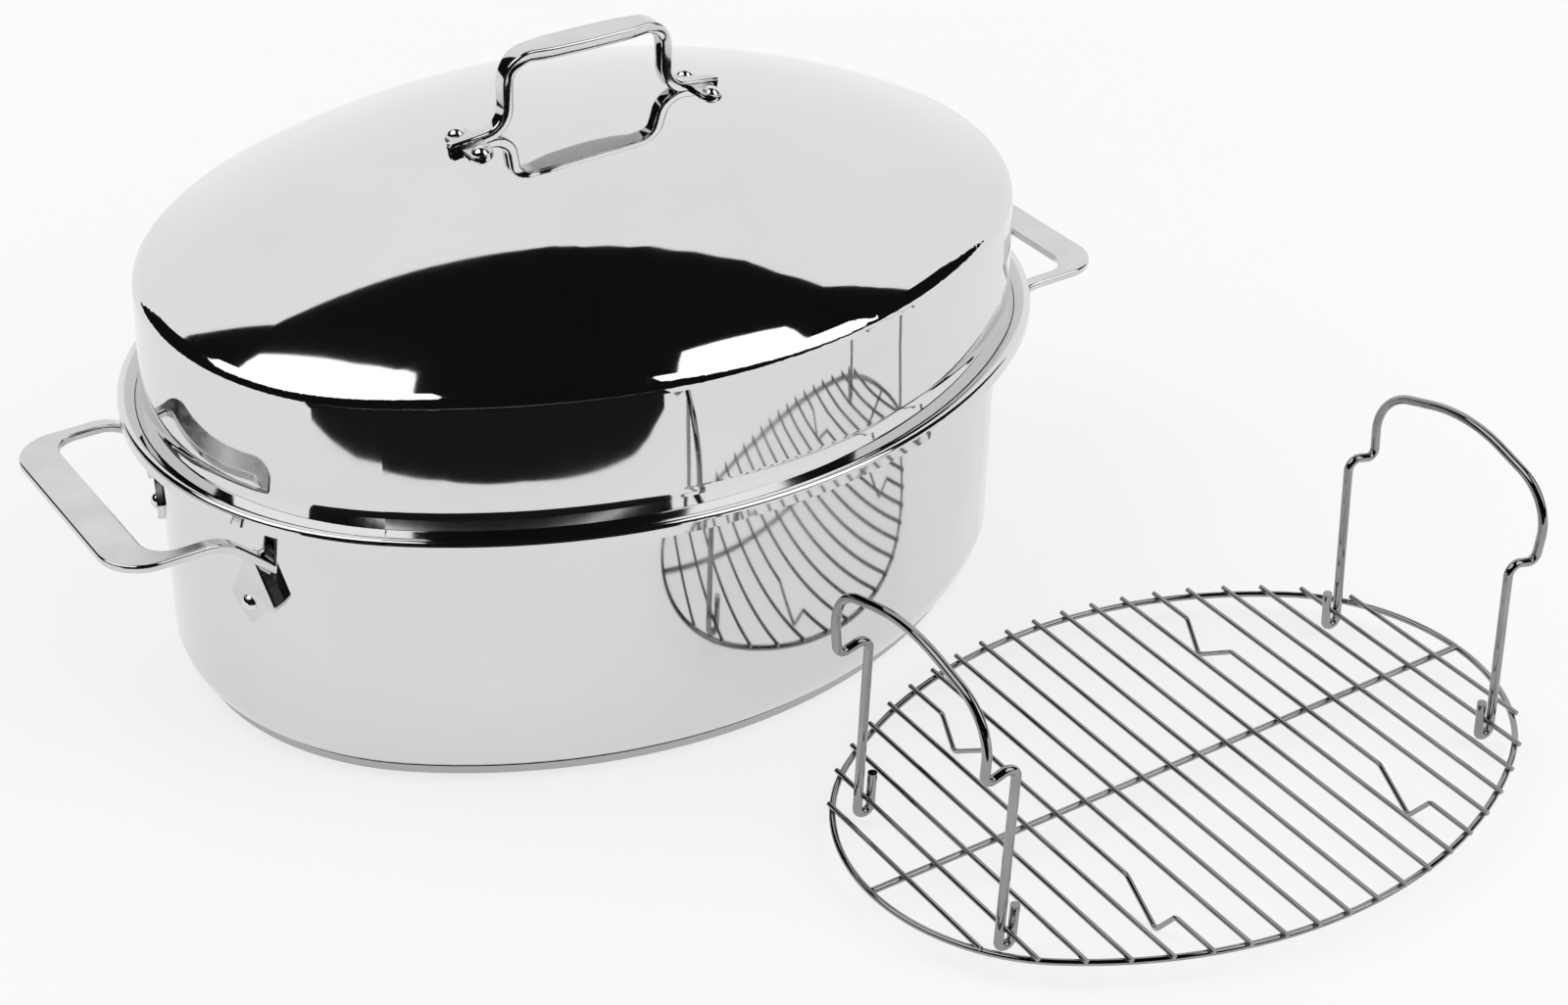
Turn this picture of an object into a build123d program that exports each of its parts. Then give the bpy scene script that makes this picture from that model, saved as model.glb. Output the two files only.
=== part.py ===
from build123d import *
from math import asin, atan2, cos, degrees, radians, sin, sqrt, tan
import os

os.makedirs("parts", exist_ok=True)

# Covered oval roasting pan with a wire rack that stands beside it.
# Millimetres, +Z up. The origin lies under the middle of the pan, on its base, and +X runs along the pan.

# Pan: an oval drawn from four tangent arcs. The share is its end radius over its width.
pan_length = 419.0
pan_width = 324.0
pan_end_share = 0.4213
pan_height = 129.5
pan_sheet = 1.2
pan_corner_radius = 14.0
rim_overhang = 14.0
rim_roll_radius = 2.2
rim_skirt_drop = 6.4
rim_flare_angle = 38.0
rim_flare_radius = 8.0

# Base: an aluminium core in a steel cap
base_inset = 21.3
base_core_height = 2.2
base_cap_sheet = 0.8
base_edge_radius = 0.6
base_seam = 0.4
core_clearance = 0.2

# Lid: its rise is measured from the pan's rim
lid_edge_inset = 7.5
lid_wall_inset = 10.1
lid_wall_draft = 1.5
lid_flare_height = 11.3
lid_flare_radius = 12.0
lid_rise = 103.7
lid_sheet = 1.2
lid_corner_radius = 8.0
crown_radius_along = 421.0
crown_radius_across = 261.0
lid_seat_gap = 0.3

# Side handles: every drop is measured down from the pan's rim
handle_reach = 247.5
handle_width = 115.0
handle_outer_radius = 19.0
handle_inner_radius = 11.0
grip_depth = 17.5
grip_top_drop = 12.5
arm_width = 6.5
arm_root_drop = 29.0
arm_bend_reach = 18.0
arm_bend_radius = 22.0
strap_thickness = 3.8
strap_edge_radius = 1.2
fin_thickness = 4.8
fin_slant = 8.0
fin_foot_drop = 48.0
fin_reach = 6.0
fin_edge_radius = 1.0
pad_thickness = 2.6
pad_corner_radius = 2.0
pad_tip_drop = 63.5
pad_shoulder_drop = 51.0
pad_neck_drop = 36.5
pad_inner_reach = 9.5
pad_neck_reach = 3.0
side_rivet_drop = 53.0
side_rivet_offset = 45.0

# Lid handle
lid_handle_span = 132.0
lid_handle_root = 92.0
lid_handle_outer = 78.0
lid_handle_rise = 33.5
lid_strap_thickness = 5.5
lid_strap_width = 15.0
lid_leg_width = 7.0
lid_fin_height = 3.5
lid_fin_width = 3.0
lid_strap_radius = 11.0
lid_strap_edge_radius = 0.5
ear_length = 20.0
ear_width = 31.0
ear_thickness = 1.6
ear_radius = 5.0
lid_rivet_spacing = 21.0
lid_rivet_span = 112.0

# Rivets
rivet_head_diameter = 7.7
rivet_head_height = 2.4
rivet_shank_diameter = 4.8
rivet_tail_diameter = 8.0
rivet_tail_height = 1.4
rivet_clearance = 0.1

# Rack: where it stands, its grid and its feet
rack_x = 122.8
rack_y = -270.8
rack_turn = -1.0
rack_length = 315.7
rack_width = 217.8
rack_end_share = 0.3967
rack_rim_height = 11.5
rim_wire = 2.8
grid_wire = 2.2
wire_count = 20
wire_pitch = 15.0
wire_overhang = 1.2
weld_depth = 0.1
hinge_wire_index = 1
foot_wire_index = 5
foot_leave = 47.0
foot_bottom = 67.0
foot_hump = 77.0
foot_valley_radius = 2.2
foot_bend_radius = 3.0

# Rack handles
rack_handle_wire = 4.0
rack_handle_spacing = 96.0
hook_clearance = 0.1
hook_depth = 8.0
prong_rise = 11.0
leg_rise = 81.0
leg_bend_radius = 4.5
step_out = 15.0
step_drop = 5.0
step_radius = 3.5
arch_lean_out = 4.0
arch_bulge = 2.5
arch_shoulder_rise = 26.0
arch_rise = 41.0
arch_shoulder_radius = 23.0
arch_top_radius = 70.0
left_handle_lean = 1.5
right_handle_lean = 4.5

# One overrun serves every cut
overrun = 5.0


def oval_arcs(length, width, end_radius):
    """Centre, start angle, span and radius of the four tangent arcs of an oval."""
    end = length / 2 - end_radius
    side_radius = (end**2 + (width / 2) ** 2 - end_radius**2) / (width - 2 * end_radius)
    side = side_radius - width / 2
    join = degrees(atan2(side, end))
    return [
        (Vector(end, 0), -join, 2 * join, end_radius),
        (Vector(0, -side), join, 180 - 2 * join, side_radius),
        (Vector(-end, 0), 180 - join, 2 * join, end_radius),
        (Vector(0, side), 180 + join, 180 - 2 * join, side_radius),
    ]


def oval_face(arcs, inset):
    """Face inside the oval, moved in from its edge."""
    with BuildLine() as outline:
        for centre, start, span, radius in arcs:
            CenterArc(centre, radius - inset, start, span)
    make_face(outline.edges())


def carry_round(arcs, draw, floor=Plane.XY):
    """Revolves a section about the four centres. draw(radius) makes its face, measured out from a centre."""
    for centre, start, span, radius in arcs:
        origin = floor.from_local_coords(centre)
        out = floor.x_dir.rotate(Axis(floor.origin, floor.z_dir), start)
        with BuildSketch(Plane(origin=origin, x_dir=out, z_dir=out.cross(floor.z_dir))) as section:
            draw(radius)
        revolve(section.sketch, axis=Axis(origin, floor.z_dir), revolution_arc=span)


def sheet_face(points, radii, thickness, side):
    """Section of a bent sheet: one face's line, thickened to a side of it."""
    with BuildLine() as outline:
        FilletPolyline(*points, radius=radii)
        offset(amount=thickness, side=side)
    make_face(outline.edges())


def half_width_at(arcs, x):
    """Half the oval's width at a distance along it."""
    end_centre, _, _, end_radius = arcs[0]
    side_centre, _, _, side_radius = arcs[1]
    limit = end_centre.X + end_radius * cos(radians(arcs[1][1]))
    if abs(x) > limit:
        return sqrt(end_radius**2 - (abs(x) - end_centre.X) ** 2)
    return side_centre.Y + sqrt(side_radius**2 - x**2)


# Pan shell: bottom, wall, flared rim and turned-down skirt in one drawn sheet
pan_end_radius = pan_width * pan_end_share
pan_arcs = oval_arcs(pan_length, pan_width, pan_end_radius)
base_height = base_cap_sheet + base_core_height
flare = radians(rim_flare_angle)
roll_under = rim_roll_radius - pan_sheet
rim_corner_rise = roll_under * (cos(flare) + (1 + sin(flare)) * tan(flare))
rim_corner_height = pan_height - rim_roll_radius + rim_corner_rise


def flare_under(inset):
    """Height of the flare's underside at a distance in from the rim's edge."""
    return rim_corner_height - (inset - pan_sheet) * tan(flare)


bottom_inset = rim_overhang + pan_corner_radius + pan_sheet


def pan_section(radius):
    points = [
        (radius - bottom_inset, base_height),
        (radius - rim_overhang, base_height),
        (radius - rim_overhang, flare_under(rim_overhang)),
        (radius - pan_sheet, rim_corner_height),
        (radius - pan_sheet, pan_height - rim_skirt_drop),
    ]
    sheet_face(points, [pan_corner_radius, rim_flare_radius, roll_under], pan_sheet, Side.LEFT)


# Places of the side handles' rivets, as angles about the pan's end centres
side_rivet_height = pan_height - side_rivet_drop
end_centre_x = pan_arcs[0][0].X
wall_end_radius = pan_end_radius - rim_overhang
rivet_angle = degrees(asin(side_rivet_offset / wall_end_radius))


def wall_plane(side, angle, out, height):
    """Plane facing straight out of the end wall, at a distance from it. Its x runs level, its y up."""
    turn = angle if side > 0 else 180 - angle
    normal = Vector(cos(radians(turn)), sin(radians(turn)), 0)
    foot = Vector(side * end_centre_x, 0, height) + normal * (wall_end_radius + out)
    return Plane(origin=foot, x_dir=Vector(0, 0, 1).cross(normal), z_dir=normal)


with BuildPart() as pan_shell:
    carry_round(pan_arcs, pan_section)
    with BuildSketch(Plane.XY.offset(base_height)):
        oval_face(pan_arcs, bottom_inset)
    extrude(amount=pan_sheet)
    for side in (-1, 1):
        for end in (-1, 1):
            with BuildSketch(wall_plane(side, end * rivet_angle, overrun, side_rivet_height)):
                Circle(rivet_shank_diameter / 2 + rivet_clearance)
            extrude(amount=-2 * overrun, mode=Mode.SUBTRACT)
pan_shell.part.label = "pan_shell"
export_step(pan_shell.part, "parts/pan_shell.step")

# Base core: the aluminium disc that spreads the heat
with BuildPart() as base_core:
    with BuildSketch(Plane.XY.offset(base_cap_sheet)):
        oval_face(pan_arcs, base_inset + base_cap_sheet + core_clearance)
    extrude(amount=base_core_height)
base_core.part.label = "base_core"
export_step(base_core.part, "parts/base_core.step")

# Base cap: a shallow steel dish round the core, with a fine seam under the pan's corner
corner_at_cap = rim_overhang + pan_corner_radius - base_inset - base_cap_sheet
cap_height = base_height + pan_corner_radius - sqrt(pan_corner_radius**2 - corner_at_cap**2) - base_seam
with BuildPart() as base_cap:
    with BuildSketch():
        oval_face(pan_arcs, base_inset)
    extrude(amount=cap_height)
    with BuildSketch(Plane.XY.offset(base_cap_sheet)):
        oval_face(pan_arcs, base_inset + base_cap_sheet)
    extrude(amount=cap_height, mode=Mode.SUBTRACT)
    fillet(base_cap.faces().sort_by(Axis.Z)[0].edges(), radius=base_edge_radius)
base_cap.part.label = "base_cap"
export_step(base_cap.part, "parts/base_cap.step")


# Lid: a drafted wall under a doubly curved crown, flared at its foot to sit in the pan's rim
lid_top_height = pan_height + lid_rise


def under_crown(lift):
    """Large solid that ends above in the crown's surface, moved out by the lift."""
    axis_height = lid_top_height - crown_radius_along
    arc_centre = axis_height - (crown_radius_along - crown_radius_across)
    radius = crown_radius_across + lift
    half_span = degrees(asin(pan_width / 2 / radius))
    chord = arc_centre - radius * cos(radians(half_span))
    with BuildPart() as block:
        with BuildSketch(Plane.YZ):
            with BuildLine():
                CenterArc((0, arc_centre), radius, -90 - half_span, 2 * half_span)
                Line((-pan_width / 2, chord), (-pan_width / 2, arc_centre))
                Line((-pan_width / 2, arc_centre), (pan_width / 2, arc_centre))
                Line((pan_width / 2, arc_centre), (pan_width / 2, chord))
            make_face()
        revolve(axis=Axis((0, 0, axis_height), (0, 1, 0)))
    return block.part


def crown_height(x, y):
    """Height of the crown's surface over a point of the plan."""
    across = crown_radius_across - sqrt(crown_radius_across**2 - y**2)
    reach = crown_radius_along - across
    return lid_top_height - crown_radius_along + sqrt(reach**2 - x**2)


def crown_plane(x, y, lift):
    """Plane square to the crown at a point of the plan, raised off it by the lift."""
    centre = Vector(0, 0, lid_top_height - crown_radius_along)
    across = crown_radius_across - sqrt(crown_radius_across**2 - y**2)
    lean_across = asin(y / crown_radius_across)
    lean_along = asin(x / (crown_radius_along - across))
    normal = Vector(sin(lean_along) * cos(lean_across), sin(lean_across), cos(lean_along) * cos(lean_across))
    point = Vector(x, y, crown_height(x, y)) + normal * lift
    return Plane(origin=point, x_dir=Vector(0, 1, 0).cross(normal), z_dir=normal)


rivet_x = lid_rivet_span / 2
rivet_y = lid_rivet_spacing / 2


def lid_rivet_holes():
    """Cuts the four holes of the lid handle's rivets in the part being built."""
    for x in (-rivet_x, rivet_x):
        for y in (-rivet_y, rivet_y):
            with BuildSketch(crown_plane(x, y, overrun)) as hole:
                Circle(rivet_shank_diameter / 2 + rivet_clearance)
            extrude(hole.sketch, amount=-2 * overrun, mode=Mode.SUBTRACT)


flare_seat = flare_under(lid_edge_inset) + pan_sheet / cos(flare)
lid_edge_height = flare_seat + lid_seat_gap / cos(flare)
lid_foot_height = lid_edge_height + lid_flare_height
crown_outer = under_crown(0)
crown_inner = under_crown(-lid_sheet)
crown_ear = under_crown(ear_thickness)


def lid_dome(inset, crown, corner):
    """Solid of the drafted oval wall, closed by the crown, with its top edge rounded."""
    with BuildPart() as dome:
        with BuildSketch(Plane.XY.offset(lid_foot_height)):
            oval_face(pan_arcs, inset)
        extrude(amount=lid_top_height - lid_foot_height + overrun, taper=lid_wall_draft)
        add(crown, mode=Mode.INTERSECT)
        top = dome.faces().sort_by(Axis.Z)[-1]
        fillet(top.edges(), radius=corner)
    return dome.part


def lid_flare_section(radius):
    points = [
        (radius - lid_edge_inset, lid_edge_height),
        (radius - lid_wall_inset, lid_foot_height - 2 * lid_sheet),
        (radius - lid_wall_inset, lid_foot_height),
    ]
    sheet_face(points, [lid_flare_radius], lid_sheet, Side.LEFT)


lid_solid = lid_dome(lid_wall_inset, crown_outer, lid_corner_radius)
lid_hollow = lid_dome(lid_wall_inset + lid_sheet, crown_inner, lid_corner_radius - lid_sheet)
with BuildPart() as lid_shell:
    add(lid_solid)
    add(lid_hollow, mode=Mode.SUBTRACT)
    carry_round(pan_arcs, lid_flare_section)
    lid_rivet_holes()
lid_shell.part.label = "lid_shell"
export_step(lid_shell.part, "parts/lid_shell.step")


# Side handles: a flat strap with a broad grip, bent down to the wall. At each end a leaf-shaped pad takes
# the rivet and a slanted fin braces the strap.
grip_top = pan_height - grip_top_drop
grip_inner = handle_reach - grip_depth
arm_root = pan_height - arm_root_drop
fin_foot = pan_height - fin_foot_drop
pad_neck = pan_height - pad_neck_drop
pad_shoulder = pan_height - pad_shoulder_drop
pad_tip = pan_height - pad_tip_drop
arm_outside = handle_width / 2
arm_inside = arm_outside - arm_width
arm_angle = degrees(asin((arm_outside + arm_inside) / 2 / wall_end_radius))
arm_wall_x = end_centre_x + wall_end_radius * cos(radians(arm_angle))
fin_run = radians(arm_angle - rivet_angle) * wall_end_radius
fin_fall = arm_root - fin_foot
fin_turn = degrees(atan2(fin_fall, fin_slant))
fin_length = sqrt(fin_fall**2 + fin_slant**2)

with BuildPart() as pads:
    for end in (-1, 1):
        with BuildSketch(wall_plane(1, end * rivet_angle, pad_thickness + overrun, 0)) as leaf:
            Polygon(
                (end * (fin_run - fin_slant / 2), arm_root),
                (0, arm_root),
                (-end * pad_neck_reach, pad_neck),
                (-end * pad_inner_reach, pad_shoulder),
                (0, pad_tip),
                (end * (fin_run + fin_slant / 2), fin_foot),
                align=None,
            )
            fillet(leaf.vertices(), radius=pad_corner_radius)
        extrude(amount=-3 * overrun)
    with BuildSketch():
        oval_face(pan_arcs, rim_overhang - pad_thickness)
    extrude(amount=grip_top, mode=Mode.INTERSECT)

with BuildPart() as fins:
    for end in (-1, 1):
        with BuildSketch(wall_plane(1, end * arm_angle, fin_reach, arm_root - fin_fall / 2)) as bar:
            SlotCenterToCenter(fin_length, fin_thickness, rotation=-end * fin_turn)
        extrude(amount=-2 * overrun)
        outer_edges = fins.edges().filter_by(lambda edge: bar.sketch.distance_to(edge @ 0.5) < fin_edge_radius / 2)
        fillet(outer_edges, radius=fin_edge_radius)


def side_handle(side):
    """One handle. side is 1 at the end towards +X and -1 at the other."""
    with BuildPart() as handle:
        # Seen from above: a rounded loop, open towards the pan
        with BuildSketch(Plane.XY.offset(pad_tip)):
            with BuildLine():
                FilletPolyline(
                    (end_centre_x, arm_outside),
                    (handle_reach, arm_outside),
                    (handle_reach, -arm_outside),
                    (end_centre_x, -arm_outside),
                    radius=handle_outer_radius,
                )
                Line((end_centre_x, -arm_outside), (end_centre_x, -arm_inside))
                FilletPolyline(
                    (end_centre_x, -arm_inside),
                    (grip_inner, -arm_inside),
                    (grip_inner, arm_inside),
                    (end_centre_x, arm_inside),
                    radius=handle_inner_radius,
                )
                Line((end_centre_x, arm_inside), (end_centre_x, arm_outside))
            make_face()
        extrude(amount=grip_top - pad_tip)
        # Seen from the side: level over the grip, then down into the wall
        with BuildSketch(Plane.XZ.offset(-handle_width)):
            points = [
                (handle_reach + overrun, grip_top),
                (arm_wall_x + arm_bend_reach, grip_top),
                (arm_wall_x - arm_bend_reach, 2 * arm_root - grip_top),
            ]
            sheet_face(points, arm_bend_radius, strap_thickness, Side.LEFT)
        extrude(amount=2 * handle_width, mode=Mode.INTERSECT)
        in_sight = handle.edges().filter_by(lambda edge: (edge @ 0.5).X > arm_wall_x - strap_thickness)
        fillet(in_sight, radius=strap_edge_radius)
        add(pads.part)
        add(fins.part)
        with BuildSketch():
            oval_face(pan_arcs, rim_overhang)
        extrude(amount=grip_top, mode=Mode.SUBTRACT)
        for end in (-1, 1):
            with BuildSketch(wall_plane(1, end * rivet_angle, 2 * overrun, side_rivet_height)):
                Circle(rivet_shank_diameter / 2 + rivet_clearance)
            extrude(amount=-3 * overrun, mode=Mode.SUBTRACT)
        if side < 0:
            mirror(about=Plane.YZ, mode=Mode.REPLACE)
    return handle.part


for name, side in (("left", -1), ("right", 1)):
    side_handle_part = side_handle(side)
    side_handle_part.label = f"side_handle_{name}"
    export_step(side_handle_part, f"parts/side_handle_{name}.step")


# Rivets: a domed head outside, a shank through the holes and a low head inside
def rivet(seat, grip, stand_off):
    """One rivet. seat is the plane its head sits on, facing out; grip is what it holds together."""
    head = rivet_head_diameter / 2
    tail = rivet_tail_diameter / 2
    head_curve = (head**2 + rivet_head_height**2) / (2 * rivet_head_height)
    tail_curve = (tail**2 + rivet_tail_height**2) / (2 * rivet_tail_height)
    tail_seat = -(grip + stand_off)
    section_plane = Plane(origin=seat.origin, x_dir=seat.x_dir, z_dir=-seat.y_dir)
    with BuildPart() as body:
        with BuildSketch(section_plane):
            with BuildLine():
                RadiusArc((0, rivet_head_height), (head, 0), head_curve)
                Line((head, 0), (rivet_shank_diameter / 2, 0))
                Line((rivet_shank_diameter / 2, 0), (rivet_shank_diameter / 2, tail_seat))
                Line((rivet_shank_diameter / 2, tail_seat), (tail, tail_seat))
                RadiusArc((tail, tail_seat), (0, tail_seat - rivet_tail_height), tail_curve)
                Line((0, tail_seat - rivet_tail_height), (0, rivet_head_height))
            make_face()
        revolve(axis=Axis(seat.origin, seat.z_dir))
    return body.part


# The low heads stand off the curved sheet by as much as it curves under them
wall_curve = wall_end_radius - pan_sheet
tail_stand_off = wall_curve - sqrt(wall_curve**2 - (rivet_tail_diameter / 2) ** 2) + rivet_clearance
for name, side in (("left", -1), ("right", 1)):
    with BuildPart() as side_rivets:
        for end in (-1, 1):
            seat = wall_plane(side, end * rivet_angle, pad_thickness, side_rivet_height)
            add(rivet(seat, pad_thickness + pan_sheet, tail_stand_off))
    side_rivets.part.label = f"side_rivets_{name}"
    export_step(side_rivets.part, f"parts/side_rivets_{name}.step")


# Lid handle: a broad strap on two legs that spread into pointed fins between riveted ears
strap_top = lid_top_height + lid_handle_rise
strap_under = strap_top - lid_strap_thickness
fin_tip = lid_handle_span / 2
leg_foot = lid_handle_root / 2
leg_outer = lid_handle_outer / 2
leg_inner = leg_outer - lid_strap_thickness
fin_tip_height = crown_height(fin_tip, 0)
leg_foot_height = crown_height(leg_foot, 0)
buried = fin_tip_height - lid_fin_height
fin_half = lid_fin_width / 4
leg_half = lid_leg_width / 2

with BuildPart() as lid_ears:
    with BuildSketch(Plane.XY.offset(lid_top_height - lid_handle_rise)):
        with Locations((-rivet_x, 0), (rivet_x, 0)):
            RectangleRounded(ear_length, ear_width, ear_radius)
    extrude(amount=2 * lid_handle_rise)
    add(crown_ear, mode=Mode.INTERSECT)

with BuildPart() as lid_handle:
    # Seen from the side
    with BuildSketch(Plane.XZ.offset(-lid_strap_width)):
        with BuildLine():
            FilletPolyline(
                (fin_tip, fin_tip_height + lid_fin_height / 2),
                (leg_foot + lid_strap_thickness, leg_foot_height + lid_fin_height),
                (leg_outer, strap_top),
                (-leg_outer, strap_top),
                (-leg_foot - lid_strap_thickness, leg_foot_height + lid_fin_height),
                (-fin_tip, fin_tip_height + lid_fin_height / 2),
                radius=lid_strap_radius,
            )
            Polyline(
                (-fin_tip, fin_tip_height + lid_fin_height / 2),
                (-fin_tip, buried),
                (-leg_foot, buried),
            )
            FilletPolyline(
                (-leg_foot, buried),
                (-leg_inner, strap_under),
                (leg_inner, strap_under),
                (leg_foot, buried),
                radius=lid_strap_radius - lid_strap_thickness / 2,
            )
            Polyline(
                (leg_foot, buried),
                (fin_tip, buried),
                (fin_tip, fin_tip_height + lid_fin_height / 2),
            )
        make_face()
    extrude(amount=2 * lid_strap_width)
    # Seen from above: broad over the grip, drawn in down the legs, pointed along the fins
    with BuildSketch(Plane.XY.offset(lid_top_height - lid_handle_rise)):
        with BuildLine():
            for edge in (-1, 1):
                Line((-fin_tip, edge * fin_half), (-leg_foot, edge * leg_half))
                Spline(
                    (-leg_foot, edge * leg_half),
                    (0, edge * lid_strap_width / 2),
                    (leg_foot, edge * leg_half),
                    tangents=((1, 0), (1, 0)),
                )
                Line((leg_foot, edge * leg_half), (fin_tip, edge * fin_half))
            Line((-fin_tip, -fin_half), (-fin_tip, fin_half))
            Line((fin_tip, -fin_half), (fin_tip, fin_half))
        make_face()
    extrude(amount=3 * lid_handle_rise, mode=Mode.INTERSECT)
    add(lid_ears.part)
    add(crown_outer, mode=Mode.SUBTRACT)
    lid_rivet_holes()
    above_fins = lid_handle.edges().filter_by_position(Axis.Z, leg_foot_height + lid_fin_height, strap_top)
    fillet([edge for edge in above_fins if abs((edge @ 0.5).Y) > fin_half], radius=lid_strap_edge_radius)
lid_handle.part.label = "lid_handle"
export_step(lid_handle.part, "parts/lid_handle.step")

# Lid handle's rivets, square to the crown
with BuildPart() as lid_rivets:
    for x in (-rivet_x, rivet_x):
        for y in (-rivet_y, rivet_y):
            add(rivet(crown_plane(x, y, ear_thickness), ear_thickness + lid_sheet, rivet_clearance))
lid_rivets.part.label = "lid_rivets"
export_step(lid_rivets.part, "parts/lid_rivets.step")

# Rack: everything is laid out on its own floor plane, turned and set down beside the pan
turn = radians(rack_turn)
rack_floor = Plane(origin=(rack_x, rack_y, 0), x_dir=(cos(turn), sin(turn), 0), z_dir=(0, 0, 1))
rack_arcs = oval_arcs(rack_length, rack_width, rack_width * rack_end_share)
wire_height = rack_rim_height + (rim_wire + grid_wire) / 2 - weld_depth


def on_rack(x, y, z):
    """Point of the rack's own frame: along it, across it and up from the floor."""
    return rack_floor.from_local_coords(Vector(x, y, z))


def wire(name, thickness, points, radii):
    """Bent round wire through the points, with a bend of the given radius at each corner."""
    places = [on_rack(*point) for point in points]
    with BuildPart() as body:
        with BuildLine() as path:
            if len(places) > 2:
                FilletPolyline(*places, radius=radii)
            else:
                Line(*places)
        with BuildSketch(Plane(origin=path.line @ 0, z_dir=path.line % 0)):
            Circle(thickness / 2)
        sweep(path=path.line)
    body.part.label = name
    export_step(body.part, f"parts/{name}.step")
    return body.part


def rim_section(radius):
    with Locations((radius, rack_rim_height)):
        Circle(rim_wire / 2)


with BuildPart() as rack_rim:
    carry_round(rack_arcs, rim_section, rack_floor)
rack_rim.part.label = "rack_rim"
export_step(rack_rim.part, "parts/rack_rim.step")

# Spine: one straight wire under the grid, welded between the rim's ends
spine_reach = rack_length / 2 - rim_wire / 2 + weld_depth
wire("rack_spine", rim_wire, [(-spine_reach, 0, rack_rim_height), (spine_reach, 0, rack_rim_height)], [])

# Cross wires lie on the rim and the spine. Two of them are bent down into feet, two carry the handles.
middle = (wire_count - 1) / 2
wire_drop = wire_height - grid_wire / 2
down = Vector(foot_leave - foot_bottom, wire_drop).normalized()
up = Vector(foot_hump - foot_bottom, wire_drop).normalized()
bisector = (down + up).normalized()
valley_rise = foot_valley_radius * (bisector.Y / sin(radians(down.get_angle(up)) / 2) - 1)
foot_height = grid_wire / 2 - valley_rise
for index in range(wire_count):
    along = (index - middle) * wire_pitch
    reach = half_width_at(rack_arcs, along) + rim_wire / 2 + wire_overhang
    points = [(along, -reach, wire_height), (along, reach, wire_height)]
    radii = []
    if index in (foot_wire_index, wire_count - 1 - foot_wire_index):
        half = [
            (along, foot_leave, wire_height),
            (along, foot_bottom, foot_height),
            (along, foot_hump, wire_height),
        ]
        points[1:1] = [(x, -y, z) for x, y, z in reversed(half)] + half
        radii = [foot_bend_radius, foot_valley_radius, foot_bend_radius]
        radii = radii + radii
    wire(f"cross_wire_{index + 1:02d}", grid_wire, points, radii)

# Rack handles: each hooks round its cross wire with both feet and stands up from it
hook_half = (rack_handle_wire + grid_wire) / 2 + hook_clearance
hook_radius = hook_half - hook_clearance
valley_out = hook_half + step_out
shoulder_out = valley_out + arch_lean_out / 2
shoulder_up = leg_rise + arch_shoulder_rise
for name, side, lean in (("left", -1, left_handle_lean), ("right", 1, right_handle_lean)):
    hinge_x = side * (middle - hinge_wire_index) * wire_pitch
    half = rack_handle_spacing / 2

    def handle_point(out, y, up):
        """Point of the handle, out from its hinge wire and up from it, leaning in as it stands."""
        tilt = radians(lean)
        return (
            hinge_x + side * (out * cos(tilt) - up * sin(tilt)),
            y,
            wire_height + out * sin(tilt) + up * cos(tilt),
        )

    leg = [
        (-hook_half, half, prong_rise),
        (-hook_half, half, -hook_depth),
        (hook_half, half, -hook_depth),
        (hook_half, half, leg_rise),
        (valley_out, half, leg_rise - step_drop),
        (shoulder_out, half + arch_bulge, shoulder_up),
    ]
    points = leg + [(valley_out + arch_lean_out, 0, leg_rise + arch_rise)]
    points = points + [(out, -y, up) for out, y, up in reversed(leg)]
    radii = [hook_radius, hook_radius, leg_bend_radius, step_radius, arch_shoulder_radius]
    radii = radii + [arch_top_radius] + radii[::-1]
    wire(f"rack_handle_{name}", rack_handle_wire, [handle_point(*point) for point in points], radii)
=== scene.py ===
import bpy
from math import cos, pi, radians, sin
from mathutils import Matrix, Vector


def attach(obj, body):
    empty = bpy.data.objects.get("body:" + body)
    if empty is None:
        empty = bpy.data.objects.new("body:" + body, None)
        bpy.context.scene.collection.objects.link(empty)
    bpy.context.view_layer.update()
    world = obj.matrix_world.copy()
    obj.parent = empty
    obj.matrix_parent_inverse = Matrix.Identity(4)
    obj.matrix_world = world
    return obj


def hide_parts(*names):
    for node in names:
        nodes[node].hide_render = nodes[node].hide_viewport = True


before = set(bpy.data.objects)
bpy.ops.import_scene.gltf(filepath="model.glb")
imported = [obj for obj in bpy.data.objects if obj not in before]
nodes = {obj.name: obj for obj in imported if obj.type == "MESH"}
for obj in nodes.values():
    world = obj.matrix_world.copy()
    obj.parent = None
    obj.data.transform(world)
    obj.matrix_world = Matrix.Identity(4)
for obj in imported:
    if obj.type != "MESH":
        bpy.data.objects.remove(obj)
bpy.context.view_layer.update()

# Camera: a long lens, a little over the shoulder of the pan, looking down on lid and rack.
# Its place and angle were worked out from the pan's rim, its base and the rack's grid.
CAMERA_PLACE = Vector((-0.56133, -0.95461, 0.74389))
CAMERA_YAW = radians(34.99)
CAMERA_PITCH = radians(32.59)
CAMERA_ROLL = radians(-1.45)
LENS = 65.87
SENSOR = 36.0
NEAREST_SEEN = 0.01
FARTHEST_SEEN = 40

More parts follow.
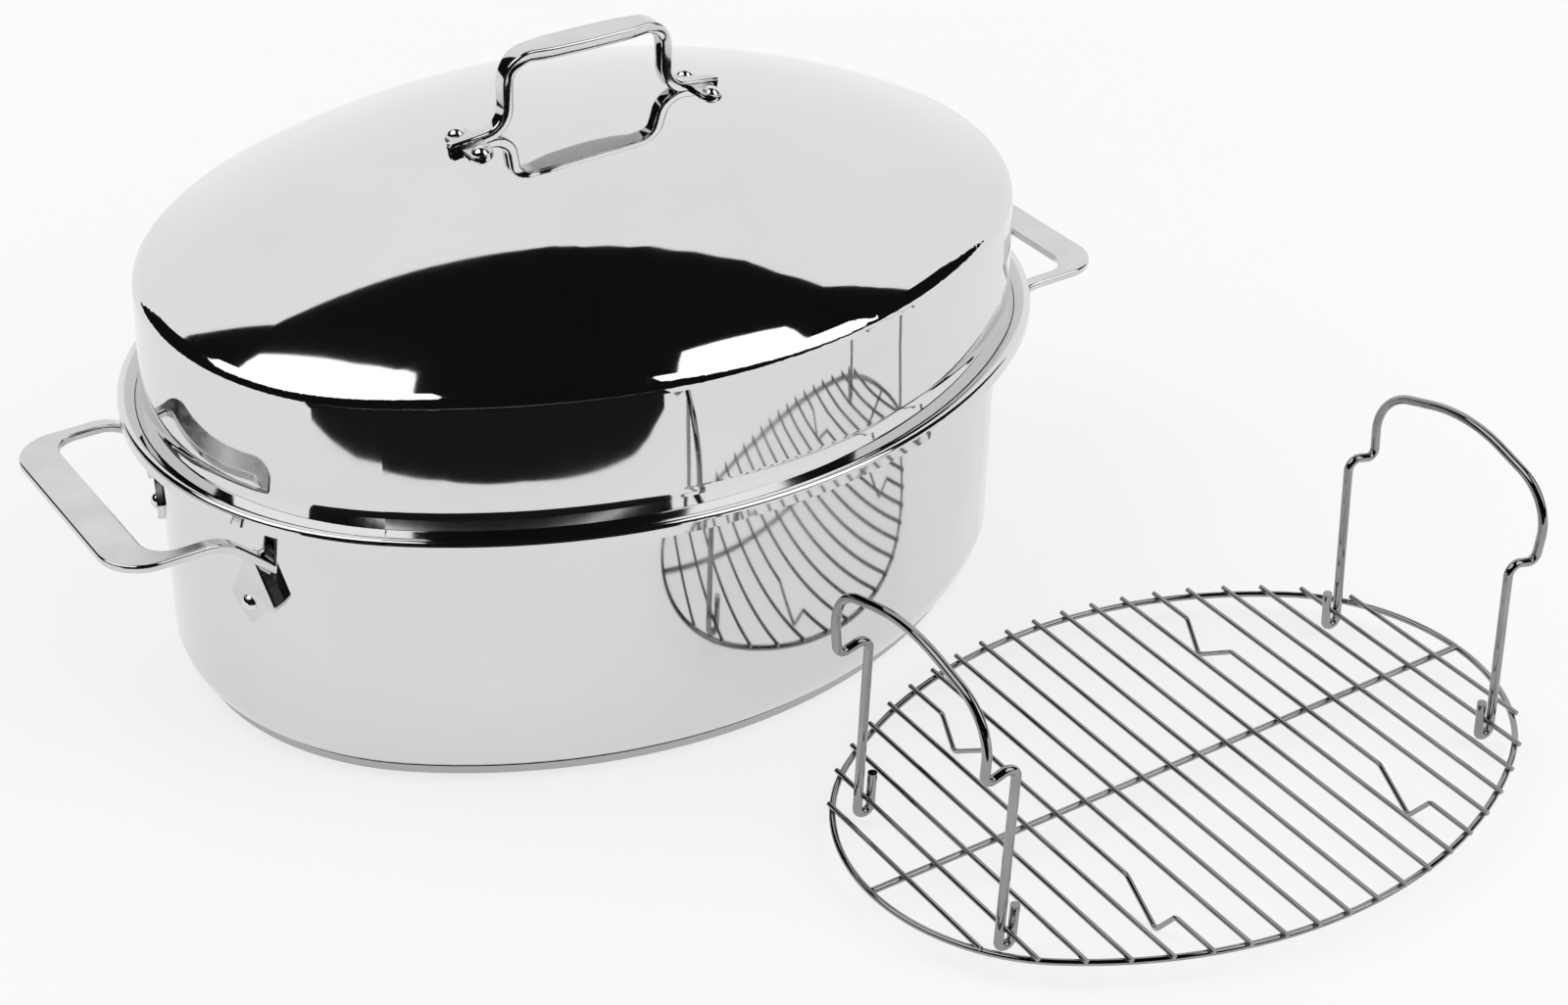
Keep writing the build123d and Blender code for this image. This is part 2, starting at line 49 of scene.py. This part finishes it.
ahead = Vector((
    sin(CAMERA_YAW) * cos(CAMERA_PITCH),
    cos(CAMERA_YAW) * cos(CAMERA_PITCH),
    -sin(CAMERA_PITCH),
))
level = Vector((cos(CAMERA_YAW), -sin(CAMERA_YAW), 0))
upright = level.cross(ahead)
across = cos(CAMERA_ROLL) * level - sin(CAMERA_ROLL) * upright
upright = cos(CAMERA_ROLL) * upright + sin(CAMERA_ROLL) * level
turn = Matrix((across, upright, -ahead)).transposed().to_4x4()
bpy.ops.object.select_all(action="DESELECT")
bpy.ops.object.camera_add()
camera = bpy.context.object
camera.name = "camera"
camera.matrix_world = Matrix.Translation(CAMERA_PLACE) @ turn
camera.data.lens = LENS
camera.data.sensor_width = SENSOR
camera.data.clip_start = NEAREST_SEEN
camera.data.clip_end = FARTHEST_SEEN
bpy.context.scene.camera = camera
bpy.context.scene.view_settings.view_transform = "Standard"

# Pan and lid: stainless sheet, rolled, drawn over a die and buffed to a mirror. Fine buffing lines run
# round the walls and along the crown, and faint rub marks dull the polish a little.
NOISE_SPAN = (0.3, 0.7)
WEAR_SPAN = (0.45, 0.9)
BUFFING_WEIGHT = 0.35
BUFFING_SEED = 3.7
LINE_STRENGTH = 0.5


def link(tree, out_node, out_name, in_node, in_name):
    tree.links.new(out_node.outputs[out_name], in_node.inputs[in_name])


def new_material(name):
    material = bpy.data.materials.new(name)
    material.use_nodes = True
    tree = material.node_tree
    shader = tree.nodes["Principled BSDF"]
    place = tree.nodes.new("ShaderNodeTexCoord")
    return material, tree, shader, place


def stretched_noise(tree, place, scale, detail, seed=0.0):
    """Noise that is finer along the axes with the larger scale."""
    mapping = tree.nodes.new("ShaderNodeMapping")
    mapping.inputs["Scale"].default_value = scale
    mapping.inputs["Location"].default_value = (seed, seed, seed)
    link(tree, place, "Object", mapping, "Vector")
    noise = tree.nodes.new("ShaderNodeTexNoise")
    noise.inputs["Scale"].default_value = 1
    noise.inputs["Detail"].default_value = detail
    link(tree, mapping, "Vector", noise, "Vector")
    return noise


def ranged(tree, source, out_name, low, high, span=NOISE_SPAN):
    """Brings what a node gives over a span to values from low to high."""
    fitted = tree.nodes.new("ShaderNodeMapRange")
    fitted.inputs["From Min"].default_value = span[0]
    fitted.inputs["From Max"].default_value = span[1]
    fitted.inputs["To Min"].default_value = low
    fitted.inputs["To Max"].default_value = high
    link(tree, source, out_name, fitted, "Value")
    return fitted


def steel(name, grey, roughness, lines, line_depth, smear=(9, 9, 14)):
    """Buffed steel. grey and roughness are (low, high); lines is the scale of the buffing lines."""
    material, tree, shader, place = new_material(name)
    shader.inputs["Metallic"].default_value = 1
    smears = stretched_noise(tree, place, smear, 4)
    shade = tree.nodes.new("ShaderNodeMix")
    shade.data_type = "RGBA"
    shade.inputs["A"].default_value = (grey[0], grey[0], grey[0], 1)
    shade.inputs["B"].default_value = (grey[1], grey[1], grey[1], 1)
    link(tree, smears, "Fac", shade, "Factor")
    link(tree, shade, "Result", shader, "Base Color")
    buffing = stretched_noise(tree, place, lines, 3, BUFFING_SEED)
    wear = tree.nodes.new("ShaderNodeMath")
    wear.operation = "MULTIPLY_ADD"
    wear.inputs[1].default_value = BUFFING_WEIGHT
    link(tree, buffing, "Fac", wear, 0)
    link(tree, smears, "Fac", wear, 2)
    rough = ranged(tree, wear, "Value", roughness[0], roughness[1], WEAR_SPAN)
    link(tree, rough, "Result", shader, "Roughness")
    bump = tree.nodes.new("ShaderNodeBump")
    bump.inputs["Strength"].default_value = LINE_STRENGTH
    bump.inputs["Distance"].default_value = line_depth
    link(tree, buffing, "Fac", bump, "Height")
    link(tree, bump, "Normal", shader, "Normal")
    return material


def dress(names, material):
    for name in names:
        mesh = nodes[name].data
        mesh.materials.clear()
        mesh.materials.append(material)


wall_steel = steel(
    "wall_steel", grey=(0.66, 0.75), roughness=(0.03, 0.07), lines=(14, 14, 900), line_depth=0.000003,
)
crown_steel = steel(
    "crown_steel", grey=(0.66, 0.75), roughness=(0.02, 0.05), lines=(14, 900, 14), line_depth=0.0000015,
)
dress(["pan_shell"], wall_steel)
dress(["lid_shell"], crown_steel)

# Base: a shallow steel cap, turned and left satin, bonded under the pan over an aluminium disc that
# spreads the heat. The disc shows only as a hairline above the cap's edge.
cap_steel = steel(
    "cap_steel", grey=(0.42, 0.55), roughness=(0.28, 0.42), lines=(20, 20, 1400), line_depth=0.00001,
)
core_aluminium = steel(
    "core_aluminium", grey=(0.55, 0.62), roughness=(0.4, 0.5), lines=(30, 30, 900), line_depth=0.00001,
)
dress(["base_cap"], cap_steel)
dress(["base_core"], core_aluminium)

# Side handles: forged steel straps, riveted to the end walls. Their level faces are brushed satin with
# faint clouds and short scratches, and their edges, arms and pads are polished.
LEVEL_SPAN = (0.93, 0.99)
CLOUD_SCALE = (70, 70, 70)
CLOUD_SEED = 8.1
SATIN_ROUGHNESS = (0.20, 0.36)
FIRST_VALUE, SECOND_VALUE, MIXED_VALUE = 2, 3, 0


def part_satin_steel(name):
    """Steel that is satin where it faces straight up or down and polished elsewhere."""
    material = steel(
        name, grey=(0.58, 0.72), roughness=(0.05, 0.10), lines=(700, 90, 700), line_depth=0.000006,
        smear=(55, 55, 90),
    )
    tree = material.node_tree
    shader = tree.nodes["Principled BSDF"]
    place = tree.nodes["Texture Coordinate"]
    polished = shader.inputs["Roughness"].links[0].from_socket
    facing = tree.nodes.new("ShaderNodeSeparateXYZ")
    link(tree, place, "Normal", facing, "Vector")
    up_or_down = tree.nodes.new("ShaderNodeMath")
    up_or_down.operation = "ABSOLUTE"
    link(tree, facing, "Z", up_or_down, 0)
    is_level = ranged(tree, up_or_down, "Value", 0, 1, LEVEL_SPAN)
    clouds = stretched_noise(tree, place, CLOUD_SCALE, 5, CLOUD_SEED)
    satin = ranged(tree, clouds, "Fac", *SATIN_ROUGHNESS)
    rough = tree.nodes.new("ShaderNodeMix")
    rough.data_type = "FLOAT"
    link(tree, is_level, "Result", rough, "Factor")
    tree.links.new(polished, rough.inputs[FIRST_VALUE])
    link(tree, satin, "Result", rough, SECOND_VALUE)
    link(tree, rough, MIXED_VALUE, shader, "Roughness")
    return material


grip_steel = part_satin_steel("grip_steel")
dress(["side_handle_left", "side_handle_right"], grip_steel)

# Rivets: solid stainless rivets with low domed heads, set with a polished die. Washing has left the
# heads with fine rub marks in all directions.
rivet_steel = steel(
    "rivet_steel", grey=(0.66, 0.78), roughness=(0.05, 0.12), lines=(300, 300, 300), line_depth=0.000006,
    smear=(90, 90, 90),
)
dress(["side_rivets_left", "side_rivets_right", "lid_rivets"], rivet_steel)

# Lid handle: one forging, a strap that is broad over the grip, turns down round the corners and runs out
# in two blunt fins on the crown. A low lug reaches from each fin to the rivets on both its sides.
CROWN_TOP = 0.2332
CROWN_ALONG = 0.421
CROWN_ACROSS = 0.261
STRAP_HEIGHT = 0.2641
STRAP_THICKNESS = 0.0052
STRAP_CORNER = 0.0115
STRAP_EDGE = 0.0013
LEG_REACH = 0.0385
FIN_START = 0.050
FIN_END = 0.0655
FIN_RISE = 0.0014
LUG_REACH = 0.056
LUG_SIZE = (0.0110, 0.0300, 0.0024)
LUG_END = 0.0054
LUG_CUTS = (0.005, -0.005, 0)
LUG_EDGE = 0.0006
LUG_LIFT = 0.0004
GRIP_STATIONS = (0, 0.006, 0.012, 0.018, 0.023)
FIN_STATIONS = (0.053, 0.057, 0.061, FIN_END)
BEND_STEPS = 12
FOOT_LEAN = 0.12
STRAP_WIDTHS = [
    (0.0, 0.0150), (0.016, 0.0142), (0.030, 0.0104), (0.042, 0.0076),
    (0.056, 0.0070), (0.075, 0.0068), (0.088, 0.0046), (0.1, 0.0034),
]
SHARP_ANGLE = radians(50)
SMOOTH_ANGLE = radians(35)
TINY = 1e-6


def crown_at(x, y=0.0):
    """Height of the crown over a point of the plan."""
    drop = CROWN_ACROSS - (CROWN_ACROSS**2 - y**2) ** 0.5
    return CROWN_TOP - CROWN_ALONG + ((CROWN_ALONG - drop) ** 2 - x**2) ** 0.5


def strap_line():
    """Half of the strap's middle line, from over the middle of the lid to the fin's end."""
    line = [(x, STRAP_HEIGHT) for x in GRIP_STATIONS]
    turn_x = LEG_REACH - STRAP_CORNER
    for step in range(BEND_STEPS + 1):
        angle = pi / 2 * step / BEND_STEPS
        line.append((turn_x + STRAP_CORNER * sin(angle), STRAP_HEIGHT - STRAP_CORNER * (1 - cos(angle))))
    fin_height = crown_at(FIN_START) + FIN_RISE
    foot = FIN_START - LEG_REACH
    for step in range(BEND_STEPS + 1):
        angle = (pi / 2 - FOOT_LEAN) * step / BEND_STEPS
        line.append((FIN_START - foot * cos(angle), fin_height + foot - foot * sin(angle)))
    for x in FIN_STATIONS:
        line.append((x, crown_at(x) + FIN_RISE))
    return line


def width_at(run):
    """Width of the strap at a length along its middle line."""
    for (before, wide), (after, narrow) in zip(STRAP_WIDTHS, STRAP_WIDTHS[1:]):
        if run <= after:
            share = (run - before) / (after - before)
            share = share * share * (3 - 2 * share)
            return wide + (narrow - wide) * share
    return STRAP_WIDTHS[-1][1]


def round_edges(piece, width, segments):
    """Rounds the sharp edges of the active piece."""
    rounding = piece.modifiers.new("rounding", "BEVEL")
    rounding.width = width
    rounding.segments = segments
    rounding.limit_method = "ANGLE"
    rounding.angle_limit = SHARP_ANGLE
    bpy.ops.object.modifier_apply(modifier="rounding")


half = strap_line()
runs = [0.0]
for (x, z), (next_x, next_z) in zip(half, half[1:]):
    runs.append(runs[-1] + ((next_x - x) ** 2 + (next_z - z) ** 2) ** 0.5)
stations = [(x, z, width_at(run)) for (x, z), run in zip(half, runs)]
stations = [(-x, z, width) for x, z, width in reversed(stations[1:])] + stations

bpy.ops.object.select_all(action="DESELECT")
bpy.ops.mesh.primitive_plane_add(size=1, location=(0, 0, 0))
strap = bpy.context.object
strap.name = "lid_handle_forging"
(end_x, end_z, end_width), (second_x, second_z, second_width) = stations[:2]
first_face = [
    (end_x, -end_width / 2, end_z), (second_x, -second_width / 2, second_z),
    (end_x, end_width / 2, end_z), (second_x, second_width / 2, second_z),
]
for corner, spot in zip(strap.data.vertices, first_face):
    corner.co = spot
for corner in strap.data.vertices:
    corner.select = abs(corner.co.x - second_x) < TINY
for edge in strap.data.edges:
    edge.select = all(strap.data.vertices[i].select for i in edge.vertices)
for face in strap.data.polygons:
    face.select = False
bpy.context.scene.tool_settings.mesh_select_mode = (False, True, False)
bpy.ops.object.mode_set(mode="EDIT")
for (x, z, width), (next_x, next_z, next_width) in zip(stations[1:], stations[2:]):
    bpy.ops.mesh.extrude_edges_move(TRANSFORM_OT_translate={"value": (next_x - x, 0, next_z - z)})
    bpy.ops.transform.resize(value=(1, next_width / width, 1), center_override=(next_x, 0, next_z))
bpy.ops.mesh.select_all(action="SELECT")
bpy.ops.mesh.normals_make_consistent(inside=False)
bpy.ops.object.mode_set(mode="OBJECT")
sheet = strap.modifiers.new("thickness", "SOLIDIFY")
sheet.thickness = STRAP_THICKNESS
sheet.offset = 0
sheet.use_even_offset = True
bpy.ops.object.modifier_apply(modifier="thickness")
round_edges(strap, STRAP_EDGE, segments=4)

lugs = []
for side in (-1, 1):
    bpy.ops.object.select_all(action="DESELECT")
    bpy.ops.mesh.primitive_cube_add(size=1, location=(0, 0, 0))
    lug = bpy.context.object
    lug.scale = LUG_SIZE
    bpy.ops.object.transform_apply(location=True, rotation=True, scale=True)
    bpy.ops.object.mode_set(mode="EDIT")
    bpy.ops.mesh.select_all(action="DESELECT")
    bpy.ops.object.mode_set(mode="OBJECT")
    for edge in lug.data.edges:
        start, end = (lug.data.vertices[i].co for i in edge.vertices)
        edge.select = abs(start.z - end.z) > TINY
    bpy.ops.object.mode_set(mode="EDIT")
    bpy.ops.mesh.bevel(offset=LUG_END, segments=10, affect="EDGES")
    for cut_y in LUG_CUTS:
        bpy.ops.mesh.select_all(action="SELECT")
        bpy.ops.mesh.bisect(plane_co=(0, cut_y, 0), plane_no=(0, 1, 0))
    bpy.ops.object.mode_set(mode="OBJECT")
    round_edges(lug, LUG_EDGE, segments=3)
    for corner in lug.data.vertices:
        corner.co.x += side * LUG_REACH
        corner.co.z += crown_at(corner.co.x, corner.co.y) + LUG_LIFT
    lugs.append(lug)
bpy.ops.object.select_all(action="DESELECT")
for lug in lugs:
    lug.select_set(True)
strap.select_set(True)
bpy.context.view_layer.objects.active = strap
bpy.ops.object.join()
bpy.ops.object.mode_set(mode="EDIT")
bpy.ops.mesh.select_all(action="SELECT")
bpy.ops.mesh.normals_make_consistent(inside=False)
bpy.ops.object.mode_set(mode="OBJECT")
bpy.ops.object.shade_smooth_by_angle(angle=SMOOTH_ANGLE)
strap.data.materials.clear()
strap.data.materials.append(grip_steel)
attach(strap, "lid")
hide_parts("lid_handle")

# Rack: drawn steel wire. The cross wires are spot-welded on the rim and the spine, the handles are bent
# and hooked round two of them, and all of it is bright-plated over faint drawing marks.
# The wires' grey is set far darker than bright plating: painted shade for the dark surroundings that the
# wires reflect. Its spread from the smear noise is random tone.
wire_steel = steel(
    "wire_steel", grey=(0.22, 0.38), roughness=(0.03, 0.08), lines=(500, 500, 500), line_depth=0.000004,
    smear=(60, 60, 60),
)
dress([name for name in nodes if name.startswith(("rack_", "cross_wire_"))], wire_steel)

# Table: a sheet of pale matt paper under the pan and the rack, which keeps their soft shadows.
# Away from them it fades into the white that lies round it, so that its edge doesn't show.
TABLE_SIZE = 6
TABLE_WHITE = 0.95
TABLE_ROUGHNESS = 0.9
TABLE_SHEEN = 0.1
BACKDROP_SHARE = 0.7
FADE_FROM = 0.35
FADE_TO = 1.8


def seen_directly(tree):
    """Is 1 for what the camera, a reflection or a glass shows, and 0 for light on its way."""
    ray = tree.nodes.new("ShaderNodeLightPath")
    straight = tree.nodes.new("ShaderNodeMath")
    straight.operation = "MAXIMUM"
    link(tree, ray, "Is Camera Ray", straight, 0)
    link(tree, ray, "Is Glossy Ray", straight, 1)
    seen = tree.nodes.new("ShaderNodeMath")
    seen.operation = "MAXIMUM"
    link(tree, straight, "Value", seen, 0)
    link(tree, ray, "Is Transmission Ray", seen, 1)
    return seen


bpy.ops.object.select_all(action="DESELECT")
bpy.ops.mesh.primitive_plane_add(size=1, location=(0, 0, 0))
table = bpy.context.object
table.name = "floor"
table.scale = (TABLE_SIZE, TABLE_SIZE, 1)
bpy.ops.object.transform_apply(location=True, rotation=True, scale=True)
paper, tree, shader, place = new_material("floor_paper")
shader.inputs["Base Color"].default_value = (TABLE_WHITE, TABLE_WHITE, TABLE_WHITE, 1)
shader.inputs["Roughness"].default_value = TABLE_ROUGHNESS
shader.inputs["Specular IOR Level"].default_value = TABLE_SHEEN
away = tree.nodes.new("ShaderNodeVectorMath")
away.operation = "LENGTH"
link(tree, place, "Object", away, 0)
fade = ranged(tree, away, "Value", BACKDROP_SHARE, 1, (FADE_FROM, FADE_TO))
share = tree.nodes.new("ShaderNodeMath")
share.operation = "MULTIPLY"
link(tree, seen_directly(tree), "Value", share, 0)
link(tree, fade, "Result", share, 1)
white = tree.nodes.new("ShaderNodeEmission")
white.inputs["Strength"].default_value = 1
blend = tree.nodes.new("ShaderNodeMixShader")
link(tree, share, "Value", blend, 0)
link(tree, shader, "BSDF", blend, 1)
link(tree, white, "Emission", blend, 2)
link(tree, blend, "Shader", tree.nodes["Material Output"], "Surface")
table.data.materials.append(paper)

# White surroundings: a plain white backdrop for the camera and for the steel's reflections.
# The light that it throws on the object is weaker, so the lamps give the shading.
SURROUND_LIGHT = 0.53
PLAIN_WHITE = (1, 1, 1, 1)

world = bpy.data.worlds.new("studio")
bpy.context.scene.world = world
world.use_nodes = True
tree = world.node_tree
tree.nodes.clear()
shown = tree.nodes.new("ShaderNodeBackground")
shown.inputs["Strength"].default_value = 1
shown.inputs["Color"].default_value = PLAIN_WHITE
thrown = tree.nodes.new("ShaderNodeBackground")
thrown.inputs["Strength"].default_value = SURROUND_LIGHT
thrown.inputs["Color"].default_value = PLAIN_WHITE
blend = tree.nodes.new("ShaderNodeMixShader")
link(tree, seen_directly(tree), "Value", blend, 0)
link(tree, thrown, "Background", blend, 1)
link(tree, shown, "Background", blend, 2)
surface = tree.nodes.new("ShaderNodeOutputWorld")
link(tree, blend, "Shader", surface, "Surface")

# Black cards: a round tent with a flat opening towards the white backdrop, and a dark floor in front of
# the pan, with a rounded near edge. Only reflections see them: they draw the dark shapes in the steel.
CARD_BLACK = 0.012
TENT_RADIUS = 9.0
TENT_TOP = 11.5
TENT_SIDES = 72
OPENING_AZIMUTH = radians(54)
OPENING_AWAY = 5.1
DARK_FLOOR_HEIGHT = 0.0005
DARK_FLOOR = [
    (-0.488, -0.152), (-0.450, -0.192), (-0.428, -0.219), (-0.386, -0.264), (-0.303, -0.326),
    (-0.210, -0.377), (-0.120, -0.409), (-0.062, -0.429), (-0.040, -0.444), (-0.014, -0.472),
    (0.7, -8.5), (-8.5, -2.1),
]


def show_to_reflections_only(thing, material):
    thing.data.materials.append(material)
    thing.visible_camera = False
    thing.visible_diffuse = False
    thing.visible_shadow = False
    thing.visible_transmission = False


def panel(name, corners, material):
    """A flat sheet that only reflections see, given its corners in order."""
    bpy.ops.object.select_all(action="DESELECT")
    bpy.ops.mesh.primitive_circle_add(vertices=len(corners), fill_type="NGON", location=(0, 0, 0))
    board = bpy.context.object
    board.name = name
    for corner, spot in zip(board.data.vertices, corners):
        corner.co = spot
    show_to_reflections_only(board, material)


card, tree, shader, place = new_material("black_card")
shader.inputs["Base Color"].default_value = (CARD_BLACK, CARD_BLACK, CARD_BLACK, 1)
shader.inputs["Roughness"].default_value = 1
shader.inputs["Specular IOR Level"].default_value = 0
opening_way = Vector((cos(OPENING_AZIMUTH), sin(OPENING_AZIMUTH), 0))
bpy.ops.object.select_all(action="DESELECT")
bpy.ops.mesh.primitive_cylinder_add(
    vertices=TENT_SIDES, radius=TENT_RADIUS, depth=TENT_TOP, location=(0, 0, TENT_TOP / 2),
)
tent = bpy.context.object
tent.name = "black_cards"
bpy.ops.object.transform_apply(location=True, rotation=True, scale=True)
bpy.ops.object.mode_set(mode="EDIT")
bpy.ops.mesh.select_all(action="SELECT")
bpy.ops.mesh.bisect(plane_co=opening_way * OPENING_AWAY, plane_no=opening_way, clear_outer=True)
bpy.ops.mesh.select_all(action="DESELECT")
bpy.ops.object.mode_set(mode="OBJECT")
for face in tent.data.polygons:
    face.select = face.center.z < TENT_TOP / 4
bpy.ops.object.mode_set(mode="EDIT")
bpy.ops.mesh.delete(type="FACE")
bpy.ops.object.mode_set(mode="OBJECT")
show_to_reflections_only(tent, card)
panel("dark_floor", [Vector((x, y, DARK_FLOOR_HEIGHT)) for x, y in DARK_FLOOR], card)

# Soft lamps: two large boxes up to the left and the right of the pan. The lamps light it, and their
# glowing fronts, given by azimuth and elevation, are what the steel shows of them.
PAN_MIDDLE = Vector((0, 0, 0.2))
LAMP_AWAY = 2.4
LAMP_RADIANCE = 1.6
FRONT_AWAY = 8.0
FRONT_GLOW = 1.5
LEFT_FRONT = [
    (118, 53), (135, 37), (153, 26), (178, 32), (193, 41), (223, 52), (218, 66), (136, 78), (126, 69),
]
RIGHT_FRONT = [
    (281, 44), (287, 30), (296, 21), (306, 11), (315, 6), (322, 12), (344, 57), (332, 69), (289, 60),
]

glow = bpy.data.materials.new("lamp_front")
glow.use_nodes = True
tree = glow.node_tree
tree.nodes.clear()
shine = tree.nodes.new("ShaderNodeEmission")
shine.inputs["Strength"].default_value = FRONT_GLOW
surface = tree.nodes.new("ShaderNodeOutputMaterial")
link(tree, shine, "Emission", surface, "Surface")


def way(azimuth, elevation):
    """Direction from the pan, in degrees round from +X and up from the floor."""
    azimuth, elevation = radians(azimuth), radians(elevation)
    return Vector((cos(azimuth) * cos(elevation), sin(azimuth) * cos(elevation), sin(elevation)))


def softbox(name, azimuth, elevation, size, corners):
    """A lamp that faces the pan, and the front that it shows in the steel."""
    bpy.ops.object.select_all(action="DESELECT")
    bpy.ops.object.light_add(type="AREA")
    lamp = bpy.context.object
    lamp.name = name
    out = way(azimuth, elevation)
    spot = out * LAMP_AWAY + PAN_MIDDLE
    lamp.matrix_world = Matrix.Translation(spot) @ out.to_track_quat("Z", "Y").to_matrix().to_4x4()
    lamp.data.shape = "RECTANGLE"
    lamp.data.size, lamp.data.size_y = size
    lamp.data.energy = LAMP_RADIANCE * pi * size[0] * size[1]
    lamp.visible_glossy = False
    panel(name + "_front", [way(*corner) * FRONT_AWAY + PAN_MIDDLE for corner in corners], glow)


softbox("left_softbox", 150, 52, (1.9, 2.1), LEFT_FRONT)
softbox("right_softbox", 308, 45, (1.6, 2.4), RIGHT_FRONT)
